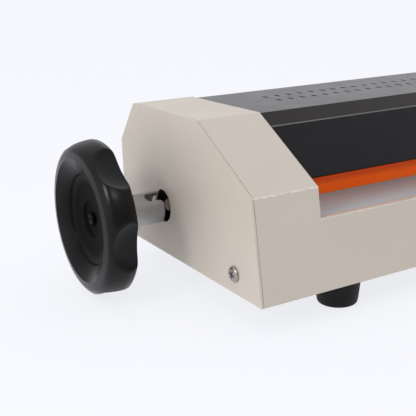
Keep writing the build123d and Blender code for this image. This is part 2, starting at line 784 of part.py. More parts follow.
bracket_sheet = 2.0
with BuildPart() as motor_bracket:
    with BuildSketch(across(motor_face - bracket_sheet)):
        with BuildLine():
            Polyline(*side([(84, sheet), (84, 96), (160, 96), (160, sheet)]), close=True)
        make_face()
        with Locations(*side([pinion_place])):
            Circle(9, mode=Mode.SUBTRACT)
        with Locations(*side([(motor_centre[0] - motor_d / 2 - 4, motor_centre[1]),
                              (motor_centre[0] + motor_d / 2 + 4, motor_centre[1])])):
            Circle(2.2, mode=Mode.SUBTRACT)
    extrude(amount=bracket_sheet)
    with BuildSketch(across(motor_face)):
        with BuildLine():
            Polyline(*side([(84, sheet), (84, sheet + 2), (160, sheet + 2), (160, sheet)]),
                     close=True)
        make_face()
    extrude(amount=16)
save(motor_bracket.part, "motor_bracket")

# heated plates before the front rollers, held between the side frames
heater_front = 60.0
heater_back = 80.0
heater_length = right_frame_d - left_frame_d - frame_sheet
for name, path_h, away in (("lower_heater_plate", 49.8, -1), ("upper_heater_plate", 52.8, 1)):
    with BuildPart() as heater:
        with BuildSketch(across(left_frame_d + frame_sheet)):
            with BuildLine():
                Polyline(*side([(heater_front + 2, path_h), (heater_back, path_h),
                                (heater_back, path_h + 12 * away),
                                (heater_back - 2.5, path_h + 12 * away),
                                (heater_back - 2.5, path_h + 3.5 * away),
                                (heater_front + 2.5, path_h + 3.5 * away),
                                (heater_front + 2.5, path_h + 12 * away),
                                (heater_front, path_h + 12 * away),
                                (heater_front, path_h + 1.5 * away)]), close=True)
            make_face()
        extrude(amount=heater_length)
    save(heater.part, name)

cutout_h = 52.8 + 3.5
with BuildPart() as thermal_cutouts:
    for d in (mid - 40, mid + 40):
        with BuildSketch(Plane.XY.offset(pz(cutout_h))):
            with Locations((px(d), py(heater_front + 10))):
                Circle(7.2)
        extrude(amount=5)
        with BuildSketch(Plane.XY.offset(pz(cutout_h + 5))):
            with Locations((px(d) - 4, py(heater_front + 10)), (px(d) + 4, py(heater_front + 10))):
                Rectangle(1.2, 4)
        extrude(amount=6)
save(thermal_cutouts.part, "thermal_cutouts")


# ---- handwheel --------------------------------------------------------------------
wheel_r = wheel_d / 2
wheel_plane = Plane(origin=(px(-wheel_back - wheel_depth), py(rear_s), pz(rear_h)),
                    x_dir=(1, 0, 0), z_dir=(0, -1, 0))
wheel_axis = Axis(wheel_plane.origin, (1, 0, 0))
ring_r = 44.6                # front edge of the rim
ledge_r = 33.5               # inner edge of the sloping ledge behind it
ledge_u = 6.6
boss_r = 15.5
boss_end = wheel_depth + 3.0
dish_r = 12.0                # small recess at the centre, with the screw's seat as its floor
seat_u = 11.5
tube_seat_u = 15.0
web_back_u = 14.0
rim_inner_r = 48.5           # inside of the rim at its back
scoop_count = 6
scoop_turn = 8               # degrees from +Y towards +Z
scoop_r = wheel_r + 3.6      # centre of a finger scoop
scoop_u = 20.0
scoop_half = (9.2, 23.0, 26.0)  # half sizes of the scoop: radial, along the rim, axial

with BuildPart() as scoop:
    Sphere(1)
    scale(by=scoop_half)

with BuildPart() as handwheel:
    with BuildSketch(wheel_plane):
        with BuildLine():
            flank = Spline((0.3, ring_r + 1.2), (1.4, wheel_r - 6.4), (4.8, wheel_r - 2.9),
                           (15.0, wheel_r - 0.5), (20.3, wheel_r - 1.6),
                           tangents=[(0.1, 1), (0.6, -1)])
            Polyline(flank @ 1, (wheel_depth, wheel_r - 3.4), (wheel_depth, rim_inner_r),
                     (web_back_u + 2.5, rim_inner_r - 2.5), (web_back_u, boss_r + 5),
                     (web_back_u, boss_r), (boss_end, boss_r), (boss_end, tube_d / 2),
                     (tube_seat_u, tube_d / 2), (tube_seat_u, 2.6), (seat_u, 2.6),
                     (seat_u, dish_r), (9.6, dish_r + 1.5))
            web = Line((9.6, dish_r + 1.5), (8.4, ledge_r - 0.8))
            Polyline(web @ 1, (ledge_u, ledge_r), (0.9, ring_r - 1.0), (0, ring_r), flank @ 0)
        make_face()
    revolve(axis=wheel_axis)
    with Locations(Plane(origin=wheel_plane.origin, x_dir=(0, 1, 0), z_dir=(1, 0, 0))):
        with PolarLocations(scoop_r, scoop_count, start_angle=scoop_turn):
            with Locations((0, 0, scoop_u)):
                add(scoop.part, mode=Mode.SUBTRACT)
save(handwheel.part, "handwheel")

slot_depth = 13.0
slot_w = 8.0
slot_lead = 3.0              # corner radius of the prongs beside the slot
cup_d = 18.0
cup_depth = 6.0
bore_depth = 26.0
tube_start = -wheel_back - wheel_depth + tube_seat_u
tube_length = -tube_gap - tube_start
with BuildPart() as hub_tube:
    with BuildSketch(axle_plane(tube_start, rear_s, rear_h)):
        Circle(tube_d / 2)
    extrude(amount=tube_length)
    with BuildSketch(axle_plane(-tube_gap, rear_s, rear_h)):
        Circle(tube_bore / 2)
    extrude(amount=-bore_depth, mode=Mode.SUBTRACT)
    with BuildSketch(axle_plane(-tube_gap, rear_s, rear_h)):
        Circle(cup_d / 2)
    extrude(amount=-cup_depth, mode=Mode.SUBTRACT)
    # open cross slot that takes the drive pin, with rounded corners at its mouth
    with BuildSketch(pin_plane(-tube_gap, rear_s, rear_h)):
        with Locations((slot_w / 4 - slot_depth / 2, 0)):
            Rectangle(slot_depth - slot_w / 2, slot_w)
        with Locations((slot_w / 2 - slot_depth, 0)):
            Circle(slot_w / 2)
        for way in (1, -1):
            with Locations((-slot_lead / 2, way * (slot_w + slot_lead) / 2)):
                Rectangle(slot_lead, slot_lead)
            with Locations((-slot_lead, way * (slot_w / 2 + slot_lead))):
                Circle(slot_lead, mode=Mode.SUBTRACT)
    extrude(amount=tube_d, both=True, mode=Mode.SUBTRACT)
    with BuildSketch(axle_plane(tube_start, rear_s, rear_h)):
        Circle(2.0)
    extrude(amount=12, mode=Mode.SUBTRACT)
save(hub_tube.part, "hub_tube")

with BuildPart() as hub_screw:
    head_plane = Plane(origin=(px(tube_start - 3.5), py(rear_s), pz(rear_h)),
                       x_dir=(0, 1, 0), z_dir=(-1, 0, 0))
    add(domed_screw(head_plane, 9, 2.4, 4, 12))
save(hub_screw.part, "hub_screw")


# ---- controls on the right end housing's slope ------------------------------------
plate_sheet = 1.2
plate_top = panel_plane.offset(plate_sheet)
knob_at = (0, 9)
lamp_places = [(-25, 14), (25, 14)]
rocker_places = {"power_rocker": (-17, -13.5), "direction_rocker": (17, -13.5)}
rocker_w = 10.2
rocker_r = 8.2
switch_w = 15.0
switch_l = 21.0
lamp_d = 7.0
spindle_d = 6.0

with BuildPart() as control_plate:
    with BuildSketch(panel_plane):
        RectangleRounded(80, 60, 4)
        with Locations(*rocker_places.values()):
            Rectangle(12.8, 18.8, mode=Mode.SUBTRACT)
        with Locations(*lamp_places):
            Circle(lamp_d / 2, mode=Mode.SUBTRACT)
        with Locations(knob_at):
            Circle(4.5, mode=Mode.SUBTRACT)
    extrude(amount=plate_sheet)
save(control_plate.part, "control_plate")


def rocker_plane(place):
    """Plane square to a rocker's hinge line: its axes run up the slope and outwards."""
    origin = plate_top.from_local_coords(Vector(place[0], place[1], 0.6))
    return Plane(origin=origin, x_dir=plate_top.y_dir, z_dir=plate_top.x_dir)


with BuildPart() as switch_bodies:
    for place in rocker_places.values():
        with BuildSketch(plate_top):
            with Locations(place):
                Rectangle(switch_w, switch_l)
        extrude(amount=2)
        with BuildSketch(plate_top):
            with Locations(place):
                Rectangle(12.6, 18.6)
        extrude(amount=-18)
        with BuildSketch(plate_top.offset(2)):
            with Locations(place):
                Rectangle(rocker_w + 0.8, 2 * rocker_r + 0.8)
        extrude(amount=-10.5, mode=Mode.SUBTRACT)
        with BuildSketch(rocker_plane(place)):
            Circle(1.2 + running_gap)
        extrude(amount=6.3, both=True, mode=Mode.SUBTRACT)
        with BuildSketch(plate_top.offset(-18)):
            with Locations(place):
                with GridLocations(1, 7, 1, 2):
                    Rectangle(4.8, 0.8)
        extrude(amount=-7)
save(switch_bodies.part, "switch_bodies")

rocker_tilt = {"power_rocker": -10.0, "direction_rocker": 0.0}
for name, place in rocker_places.items():
    hinge = rocker_plane(place)
    tilt = radians(rocker_tilt[name])
    tilted = Plane(origin=hinge.origin, z_dir=hinge.z_dir,
                   x_dir=hinge.x_dir * cos(tilt) + hinge.y_dir * sin(tilt))
    with BuildPart() as rocker:
        with BuildSketch(tilted):
            Circle(rocker_r)
            with BuildLine():
                Polyline((-9, -3.5), (9, -3.5), (9, 4.6), (0, 2.6), (-9, 4.6), close=True)
            make_face(mode=Mode.INTERSECT)
        extrude(amount=rocker_w / 2, both=True)
        with BuildSketch(hinge):
            Circle(1.2)
        extrude(amount=6.0, both=True)
    save(rocker.part, name)

knob_d = 24.0
knob_height = 10.0
with BuildPart() as temperature_knob:
    with BuildSketch(plate_top.offset(0.5)):
        with Locations(knob_at):
            Circle(knob_d / 2)
            with PolarLocations(knob_d / 2 + 1.0, 18):
                Circle(1.5, mode=Mode.SUBTRACT)
    extrude(amount=knob_height, taper=3)
    with BuildSketch(plate_top.offset(0.5 + knob_height)):
        with Locations((knob_at[0], knob_at[1] + knob_d / 4)):
            Rectangle(1.6, knob_d / 2 - 2)
    extrude(amount=-0.8, mode=Mode.SUBTRACT)
    with BuildSketch(plate_top.offset(0.5)):
        with Locations(knob_at):
            Circle(spindle_d / 2)
    extrude(amount=7.5, mode=Mode.SUBTRACT)
save(temperature_knob.part, "temperature_knob")

with BuildPart() as knob_spindle:
    with BuildSketch(plate_top.offset(8.0)):
        with Locations(knob_at):
            Circle(spindle_d / 2)
    extrude(amount=-20.5)
save(knob_spindle.part, "knob_spindle")

with BuildPart() as thermostat:
    with BuildSketch(panel_plane.offset(-2)):
        with Locations(knob_at):
            Rectangle(34, 26)
    extrude(amount=-18)
    with BuildSketch(panel_plane.offset(-2)):
        with Locations(knob_at):
            Circle(4.4)
    extrude(amount=3)
    with BuildSketch(plate_top):
        with Locations(knob_at):
            Circle(spindle_d / 2 + running_gap)
    extrude(amount=-14, mode=Mode.SUBTRACT)
save(thermostat.part, "thermostat")

with BuildPart() as indicator_lamps:
    for place in lamp_places:
        with BuildSketch(plate_top):
            with Locations(place):
                Circle(lamp_d / 2 + 1)
        extrude(amount=1.2)
        with BuildSketch(plate_top.offset(1.2)):
            with Locations(place):
                Circle(lamp_d / 2 - 0.4)
        extrude(amount=1.6, taper=25)
        with BuildSketch(plate_top):
            with Locations(place):
                Circle(lamp_d / 2)
        extrude(amount=-14)
save(indicator_lamps.part, "indicator_lamps")

# control board on four posts, with its relay, capacitor and terminal block
board_h = 9.0
board_x = control_x + 7
board_s = 56.0
with BuildPart() as control_board:
    with BuildSketch(Plane.XY.offset(pz(board_h))):
        with Locations((px(board_x), py(board_s))):
            Rectangle(62, 48)
    extrude(amount=1.6)
    with BuildSketch(Plane.XY.offset(pz(board_h + 1.6))):
        with Locations((px(board_x - 18), py(board_s + 8))):
            Rectangle(19, 15.5)
        with Locations((px(board_x - 14), py(board_s - 16))):
            Rectangle(30, 11)
    extrude(amount=15)
    with BuildSketch(Plane.XY.offset(pz(board_h + 1.6))):
        with Locations((px(board_x + 12), py(board_s + 10))):
            Rectangle(26, 11)
        with Locations((px(board_x + 20), py(board_s - 14))):
            Circle(6.5)
    extrude(amount=18)
    with BuildSketch(Plane.XY.offset(pz(sheet))):
        with Locations((px(board_x), py(board_s))):
            with GridLocations(54, 40, 2, 2):
                Circle(3)
    extrude(amount=board_h - sheet)
save(control_board.part, "control_board")

# mains inlet on the rear panel: flange with two ears, shroud, three blades
with BuildPart() as power_inlet:
    with BuildSketch(rear_plane):
        RectangleRounded(50, 23, 3)
        with Locations((-20, 0), (20, 0)):
            Circle(1.8, mode=Mode.SUBTRACT)
    extrude(amount=rear_proud)
    with BuildSketch(rear_plane):
        RectangleRounded(27, 20, 2)
    extrude(amount=-22)
    with BuildSketch(rear_plane.offset(rear_proud)):
        RectangleRounded(24.2, 16.8, 2)
    extrude(amount=-18, mode=Mode.SUBTRACT)
    with BuildSketch(rear_plane):
        with Locations((-7, -2), (7, -2), (0, 2.4)):
            Rectangle(2.1, 4.1)
    extrude(amount=-22, mode=Mode.SUBTRACT)
save(power_inlet.part, "power_inlet")

with BuildPart() as inlet_pins:
    with BuildSketch(rear_plane.offset(-1)):
        with Locations((-7, -2), (7, -2), (0, 2.4)):
            Rectangle(2.0, 4.0)
    extrude(amount=-28)
save(inlet_pins.part, "inlet_pins")

with BuildPart() as inlet_screws:
    for u in (-20, 20):
        seat = Plane(origin=rear_plane.from_local_coords(Vector(u, 0, rear_proud - 1.6)),
                     x_dir=(1, 0, 0), z_dir=(0, 1, 0))
        add(domed_screw(seat, 3.55, 1.5, 3, 8))
save(inlet_screws.part, "inlet_screws")
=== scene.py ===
import json
from math import cos, pi, radians, sin

import bmesh
import bpy
from mathutils import Matrix, Vector


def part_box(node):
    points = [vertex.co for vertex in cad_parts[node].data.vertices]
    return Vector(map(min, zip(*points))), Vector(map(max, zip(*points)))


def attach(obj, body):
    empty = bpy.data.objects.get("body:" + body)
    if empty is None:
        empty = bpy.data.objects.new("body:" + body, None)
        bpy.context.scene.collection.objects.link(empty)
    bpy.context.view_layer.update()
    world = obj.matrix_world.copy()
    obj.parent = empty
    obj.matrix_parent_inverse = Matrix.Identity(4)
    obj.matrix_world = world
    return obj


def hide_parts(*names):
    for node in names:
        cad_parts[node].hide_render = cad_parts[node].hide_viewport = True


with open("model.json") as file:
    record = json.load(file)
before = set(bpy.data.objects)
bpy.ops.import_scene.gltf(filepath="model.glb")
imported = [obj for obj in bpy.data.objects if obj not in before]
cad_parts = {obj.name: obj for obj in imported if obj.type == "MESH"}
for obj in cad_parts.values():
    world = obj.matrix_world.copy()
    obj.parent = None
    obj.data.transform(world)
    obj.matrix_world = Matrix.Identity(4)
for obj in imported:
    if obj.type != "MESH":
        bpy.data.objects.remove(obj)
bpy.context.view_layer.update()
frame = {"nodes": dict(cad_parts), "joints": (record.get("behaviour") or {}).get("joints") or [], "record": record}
nodes = frame["nodes"]
joints = {joint["name"]: joint for joint in frame["joints"]}
scene = bpy.context.scene
MM = 0.001


# ---- places from the frame --------------------------------------------------------
left_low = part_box("left_side_plate")[0]
left_x = left_low.x                      # outer face of the left side plate
front_y = left_low.y                     # front bottom edge
base_z = left_low.z                      # casing's bottom edge, above the feet
axle = Vector(joints["drive_roller_spin"]["pos_m"])
wheel_low, wheel_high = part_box("handwheel")


# ---- node helpers -----------------------------------------------------------------
class Graph:
    """A material's node tree with short calls for the nodes used here."""

    def __init__(self, name):
        self.material = bpy.data.materials.new(name)
        self.material.use_nodes = True
        self.tree = self.material.node_tree
        self.shader = self.tree.nodes["Principled BSDF"]
        self.place = self.add("ShaderNodeTexCoord").outputs["Object"]

    def add(self, kind, **values):
        node = self.tree.nodes.new(kind)
        for name, value in values.items():
            setattr(node, name, value)
        return node

    def link(self, output, node, name):
        self.tree.links.new(output, node.inputs[name])

    def noise(self, scale, detail=2.0, rough=0.5, stretch=None):
        node = self.add("ShaderNodeTexNoise")
        node.inputs["Scale"].default_value = scale
        node.inputs["Detail"].default_value = detail
        node.inputs["Roughness"].default_value = rough
        place = self.place
        if stretch:
            mapping = self.add("ShaderNodeMapping")
            mapping.inputs["Scale"].default_value = stretch
            self.link(place, mapping, "Vector")
            place = mapping.outputs["Vector"]
        self.link(place, node, "Vector")
        return node.outputs["Fac"]

    def cells(self, scale):
        node = self.add("ShaderNodeTexVoronoi")
        node.inputs["Scale"].default_value = scale
        self.link(self.place, node, "Vector")
        return node

    def ramp(self, value, low, high, start=0.0, end=1.0):
        """value mapped from low..high to start..end, clamped."""
        node = self.add("ShaderNodeMapRange")
        for name, number in (("From Min", low), ("From Max", high), ("To Min", start), ("To Max", end)):
            node.inputs[name].default_value = number
        self.link(value, node, "Value")
        return node.outputs["Result"]

    def math(self, operation, a, b):
        node = self.add("ShaderNodeMath", operation=operation)
        for index, item in enumerate((a, b)):
            if isinstance(item, (int, float)):
                node.inputs[index].default_value = item
            else:
                self.tree.links.new(item, node.inputs[index])
        return node.outputs["Value"]

    def mix(self, amount, first, second):
        """A colour mixed from first to second by amount; each is a colour or an output."""
        node = self.add("ShaderNodeMix", data_type="RGBA")
        self.link(amount, node, "Factor")
        for index, item in ((6, first), (7, second)):
            if isinstance(item, tuple):
                node.inputs[index].default_value = (*item, 1.0)
            else:
                self.tree.links.new(item, node.inputs[index])
        return node.outputs[2]

    def edges(self, radius):
        """Near 0 on flat ground and 1 on a convex or concave edge within radius."""
        bevel = self.add("ShaderNodeBevel", samples=4)
        bevel.inputs["Radius"].default_value = radius
        true = self.add("ShaderNodeNewGeometry").outputs["Normal"]
        dot = self.add("ShaderNodeVectorMath", operation="DOT_PRODUCT")
        self.link(bevel.outputs["Normal"], dot, 0)
        self.link(true, dot, 1)
        return self.ramp(dot.outputs["Value"], 0.995, 0.90)

    def near_line(self, y, z, reach):
        """1 within reach of a line along X through (y, z), falling to 0 just beyond it."""
        split = self.add("ShaderNodeSeparateXYZ")
        self.link(self.place, split, "Vector")
        across = self.math("SUBTRACT", split.outputs["Y"], y)
        above = self.math("SUBTRACT", split.outputs["Z"], z)
        square = self.math("ADD", self.math("MULTIPLY", across, across),
                           self.math("MULTIPLY", above, above))
        return self.ramp(square, (reach * 0.55) ** 2, reach ** 2, 1.0, 0.0)

    def along(self, axis, low, high):
        """0 at low and 1 at high along an axis."""
        split = self.add("ShaderNodeSeparateXYZ")
        self.link(self.place, split, "Vector")
        return self.ramp(split.outputs[axis], low, high)

    def bump(self, height, strength, distance, over=None):
        node = self.add("ShaderNodeBump")
        node.inputs["Strength"].default_value = strength
        node.inputs["Distance"].default_value = distance
        self.link(height, node, "Height")
        if over is not None:
            self.link(over, node, "Normal")
        return node.outputs["Normal"]

    def soft_normal(self, radius):
        bevel = self.add("ShaderNodeBevel", samples=4)
        bevel.inputs["Radius"].default_value = radius
        return bevel.outputs["Normal"]

    def finish(self, colour=None, rough=None, normal=None, metal=None, **uniform):
        for output, name in ((colour, "Base Color"), (rough, "Roughness"), (normal, "Normal"),
                             (metal, "Metallic")):
            if output is not None and not isinstance(output, (int, float, tuple)):
                self.link(output, self.shader, name)
            elif output is not None:
                value = (*output, 1.0) if isinstance(output, tuple) else output
                self.shader.inputs[name].default_value = value
        for name, value in uniform.items():
            self.shader.inputs[name.replace("_", " ")].default_value = value
        return self.material


def linear(red, green, blue):
    """A linear colour from 0-255 display values."""
    def channel(value):
        value /= 255
        return value / 12.92 if value <= 0.04045 else ((value + 0.055) / 1.055) ** 2.4
    return tuple(channel(value) for value in (red, green, blue))


# ---- materials --------------------------------------------------------------------
def enamel(name, colour, worn, rough, grain, wear, folds=(), **uniform):
    """Sprayed enamel: fine orange peel, slight mottling, and paint worn thin along folded edges.

    folds are lines along X, each (y, z, reach, first x, last x) in metres, where the paint is
    broken through.
    """
    g = Graph(name)
    mottled = g.mix(g.ramp(g.noise(22, 3), 0.35, 0.65), colour,
                    tuple(c * 0.97 for c in colour))
    broken = g.ramp(g.noise(380, 3, 0.65, (1.0, 1.0, 1.0)), 0.50, 0.62)
    edge = g.math("MULTIPLY", g.edges(0.0009), broken)
    edge = g.math("MULTIPLY", edge, wear)
    coloured = g.mix(edge, mottled, worn)
    flecks = g.ramp(g.noise(520, 3, 0.75, (0.5, 1.0, 1.0)), 0.44, 0.60, 0.12, 0.85)
    for y, z, reach, first, last in folds:
        near = g.near_line(y, z, reach)
        near = g.math("MULTIPLY", near, g.along("X", first, first + 0.0005))
        near = g.math("MULTIPLY", near, g.along("X", last, last - 0.0005))
        coloured = g.mix(g.math("MULTIPLY", near, flecks), coloured, worn)
    roughness = g.ramp(g.noise(60, 4), 0.3, 0.7, rough - 0.05, rough + 0.05)
    peel = g.noise(grain, 2, 0.6)
    normal = g.bump(peel, 0.12, 0.0003, g.soft_normal(0.0006))
    return g.finish(coloured, roughness, normal, **uniform)


def plastic(name, colour, rough, grain=2600, strength=0.10):
    """Moulded plastic: fine texture, soft edges and faint handling marks."""
    g = Graph(name)
    worn = tuple(min(1.0, c * 1.6 + 0.01) for c in colour)
    marks = g.ramp(g.noise(90, 5, 0.65), 0.52, 0.75)
    coloured = g.mix(g.math("MULTIPLY", marks, 0.18), colour, worn)
    coloured = g.mix(g.math("MULTIPLY", g.edges(0.0006), 0.35), coloured, worn)
    roughness = g.ramp(g.noise(140, 4), 0.3, 0.7, rough - 0.05, rough + 0.07)
    normal = g.bump(g.noise(grain, 2), strength, 0.0002, g.soft_normal(0.0004))
    return g.finish(coloured, roughness, normal)


def metal(name, colour, rough, brushed=(1.0, 1.0, 1.0), scale=900, strength=0.08):
    """Bare or plated metal: drawn or brushed grain, patchy tarnish and bright edges."""
    g = Graph(name)
    dull = tuple(c * 0.85 for c in colour)
    coloured = g.mix(g.ramp(g.noise(70, 4, 0.6), 0.35, 0.7), colour, dull)
    bright = tuple(min(1.0, c * 1.15) for c in colour)
    coloured = g.mix(g.math("MULTIPLY", g.edges(0.0004), 0.5), coloured, bright)
    grain = g.noise(scale, 3, 0.6, brushed)
    roughness = g.ramp(grain, 0.3, 0.7, rough - 0.06, rough + 0.08)
    normal = g.bump(grain, strength, 0.0001, g.soft_normal(0.0003))
    return g.finish(coloured, roughness, normal, 1.0)


def zinc(name):
    """Galvanised sheet with faint spangle."""
    g = Graph(name)
    cells = g.cells(160).outputs["Color"]
    grey = g.add("ShaderNodeRGBToBW")
    g.link(cells, grey, "Color")
    tone = g.ramp(grey.outputs["Val"], 0.2, 0.8)
    coloured = g.mix(tone, linear(150, 152, 155), linear(176, 178, 181))
    roughness = g.ramp(grey.outputs["Val"], 0.2, 0.8, 0.34, 0.5)
    normal = g.bump(g.noise(500, 2), 0.05, 0.0001, g.soft_normal(0.0004))
    return g.finish(coloured, roughness, normal, 1.0)


def rubber(name, colour, rough, grain):
    """Moulded rubber: matte, finely pitted, slightly dusty."""
    g = Graph(name)
    dust = g.ramp(g.noise(45, 5, 0.7), 0.5, 0.85)
    dusty = tuple(c * 1.5 + 0.012 for c in colour)
    coloured = g.mix(g.math("MULTIPLY", dust, 0.5), colour, dusty)
    roughness = g.ramp(g.noise(200, 3), 0.3, 0.7, rough - 0.07, rough + 0.08)
    normal = g.bump(g.noise(grain, 3), 0.18, 0.0003, g.soft_normal(0.0005))
    return g.finish(coloured, roughness, normal, Specular_IOR_Level=0.25)


def board(name):
    """Printed board: green mask with copper runs under it, and dark parts above the board."""
    board_face = base_z + 11.2 * MM
    g = Graph(name)
    runs = g.add("ShaderNodeTexBrick", offset=0.5)
    g.link(g.place, runs, "Vector")
    runs.inputs["Scale"].default_value = 150
    runs.inputs["Mortar Size"].default_value = 0.03
    mask = g.mix(runs.outputs["Fac"], linear(22, 96, 48), linear(60, 130, 70))
    split = g.add("ShaderNodeSeparateXYZ")
    g.link(g.place, split, "Vector")
    above = g.ramp(split.outputs["Z"], board_face, board_face + 0.2 * MM)
    coloured = g.mix(above, mask, linear(38, 40, 46))
    roughness = g.ramp(g.noise(300, 2), 0.3, 0.7, 0.3, 0.45)
    normal = g.bump(g.noise(900, 2), 0.1, 0.0002, g.soft_normal(0.0004))
    return g.finish(coloured, roughness, normal)


def lip_plastic(name):
    """Glossy orange moulding with painted shade, a darker red higher up under the hood's edge, and a faint painted
    glow.
    """
    g = Graph(name)
    streaks = g.ramp(g.noise(60, 3, 0.6, (0.12, 1.0, 1.0)), 0.3, 0.7)
    # painted shade: the lit orange below is blended by height into a dark red that stands for the hood's shadow
    bright = g.mix(streaks, linear(240, 92, 2), linear(228, 82, 0))
    painted_shade_orange = g.mix(streaks, linear(150, 22, 0), linear(165, 28, 0))
    coloured = g.mix(g.along("Z", LIP_LIT_Z, LIP_SHADE_Z), bright, painted_shade_orange)
    roughness = g.ramp(g.noise(120, 3), 0.3, 0.7, 0.34, 0.44)
    normal = g.bump(g.noise(1400, 2), 0.04, 0.0002, g.soft_normal(0.0005))
    # painted glow: the orange moulding gives off a little orange light of its own, though it is no lamp
    return g.finish(coloured, roughness, normal, Specular_IOR_Level=0.2,
                    Emission_Color=(1.0, 0.16, 0.0, 1.0), Emission_Strength=0.16)


def cover_paint(name):
    """Satin black paint with painted shade inside the vent slots and a painted highlight line at the crease."""
    g = Graph(name)
    mottled = g.mix(g.ramp(g.noise(22, 3), 0.35, 0.65), linear(31, 27, 27), linear(29, 26, 26))
    # painted highlight: a light grey line along the crease stands for light caught on the edges there
    line = g.math("MULTIPLY", g.near_line(crease_y, crease_z, 0.0009), 0.8)
    coloured = g.mix(line, mottled, linear(120, 118, 118))
    # painted shade: below the top face, within the vent rows, the slot walls turn near black and lose their
    # reflection
    inside = g.math("MULTIPLY", g.along("Z", cover_top - 0.00006, cover_top - 0.00012),
                    g.along("Y", vents_y - 0.0002, vents_y))
    inside = g.math("MULTIPLY", inside, g.along("Y", vents_y + VENTS_DEEP + 0.0002, vents_y + VENTS_DEEP))
    coloured = g.mix(inside, coloured, linear(3, 3, 3))
    roughness = g.ramp(g.noise(60, 4), 0.3, 0.7, 0.25, 0.29)
    roughness = g.math("MAXIMUM", roughness, inside)
    level = g.ramp(inside, 0.0, 1.0, 0.17, 0.0)
    g.link(level, g.shader, "Specular IOR Level")
    normal = g.bump(g.noise(700, 2, 0.6), 0.01, 0.0003, g.soft_normal(0.0004))
    return g.finish(coloured, roughness, normal, Specular_Tint=(1.0, 0.88, 0.86, 1.0))


def wheel_moulding(name):
    """Glossy black moulding, duller towards the middle of the dish."""
    g = Graph(name)
    marks = g.ramp(g.noise(90, 5, 0.65), 0.52, 0.75)
    coloured = g.mix(g.math("MULTIPLY", marks, 0.18), linear(10, 10, 11), linear(22, 22, 23))
    dish = g.near_line(axle.y, axle.z, 0.046)
    g.link(g.ramp(dish, 0.0, 1.0, 0.20, 0.03), g.shader, "Specular IOR Level")
    roughness = g.ramp(g.noise(140, 4), 0.3, 0.7, 0.20, 0.28)
    roughness = g.math("MAXIMUM", roughness, g.math("MULTIPLY", dish, 0.55))
    normal = g.bump(g.noise(1900, 2), 0.012, 0.0002, g.soft_normal(0.0003))
    return g.finish(coloured, roughness, normal)


beige = linear(202, 192, 179)
table_low, table_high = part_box("feed_table")
front_fold = (front_y + 10.8 * MM, base_z + 69.3 * MM, 0.8 * MM, left_x, -left_x)
panel_fold = (front_y + 7.6 * MM, base_z + 48.6 * MM, 1.0 * MM, table_low.x - MM, table_high.x + MM)
# the crease is where the cover's lower edge meets the hood's top edge
crease_y = front_y + 65.2 * MM
crease_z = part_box("front_hood")[1].z + 0.2 * MM
cover_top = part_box("top_cover")[1].z
vents_y = front_y + 113 * MM                # start of the two vent rows
VENTS_DEEP = 28.5 * MM
LIP_LIT_Z = base_z + 60.5 * MM           # the orange lip is painted in its lit colour below this height
LIP_SHADE_Z = base_z + 66.5 * MM             # and in painted shade, a dark red, above this one
materials = {
    "casing_paint": enamel("casing_paint", beige, linear(232, 225, 214), 0.42, 1500, 0.22,
                           folds=(front_fold, panel_fold)),
    "black_paint": cover_paint("black_paint"),
    "hood_paint": enamel("hood_paint", linear(27, 25, 28), linear(60, 58, 60), 0.42, 900, 0.3,
                         Specular_IOR_Level=0.06),
    "orange_plastic": lip_plastic("orange_plastic"),
    # painted light: the feed table glows faintly to lift the shade under the hood
    "table_steel": enamel("table_steel", linear(150, 168, 172), linear(170, 182, 184), 0.5, 1600, 0.1,
                          Emission_Color=(0.92, 0.98, 1.0, 1.0), Emission_Strength=0.125),
    "zinc_sheet": zinc("zinc_sheet"),
    "foot_rubber": rubber("foot_rubber", linear(10, 10, 11), 0.6, 1800),
    "screw_steel": metal("screw_steel", linear(178, 178, 180), 0.35),
    "nickel_screw": metal("nickel_screw", linear(168, 162, 156), 0.3),
    "black_screw": metal("black_screw", linear(16, 16, 17), 0.5),
    "bronze": metal("bronze", linear(186, 150, 96), 0.42, scale=1500, strength=0.2),
    "spring_steel": metal("spring_steel", linear(150, 150, 154), 0.32),
    "motor_case": metal("motor_case", linear(150, 152, 155), 0.4, (0.15, 1.0, 1.0)),
    "heater_aluminium": metal("heater_aluminium", linear(200, 200, 203), 0.36, (0.05, 1.0, 1.0)),
    "brown_plastic": plastic("brown_plastic", linear(62, 42, 32), 0.45),
    "panel_black": plastic("panel_black", linear(30, 30, 32), 0.5, 1500, 0.3),
    "switch_black": plastic("switch_black", linear(24, 24, 25), 0.3),
    "rocker_red": plastic("rocker_red", linear(186, 30, 22), 0.25),
    "knob_black": plastic("knob_black", linear(28, 28, 29), 0.42, 1500, 0.25),
    "lamp_lens": plastic("lamp_lens", linear(210, 60, 30), 0.12, 1200, 0.02),
    "board_green": board("board_green"),
    "shaft_steel": metal("shaft_steel", linear(196, 196, 198), 0.22, (0.05, 1.0, 1.0)),
    "silicone": rubber("silicone", linear(150, 84, 62), 0.6, 2600),
    "gear_nylon": plastic("gear_nylon", linear(226, 222, 208), 0.4, 1200, 0.06),
    "wheel_plastic": wheel_moulding("wheel_plastic"),
    "tube_grey": metal("tube_grey", linear(168, 167, 167), 0.45, (0.4, 1.0, 1.0), 1200, strength=0.15),
}
slot_of = {part["node"]: part["material_slot"] for part in frame["record"]["subparts"]}


def paint(piece, slot_name):
    piece.data.materials.clear()
    piece.data.materials.append(materials[slot_name])


for name, node in nodes.items():
    paint(node, slot_of[name])
materials["oiled_steel"] = metal("oiled_steel", linear(128, 108, 106), 0.5)
paint(nodes["rear_lower_shaft"], "oiled_steel")
paint(nodes["hub_screw"], "black_screw")


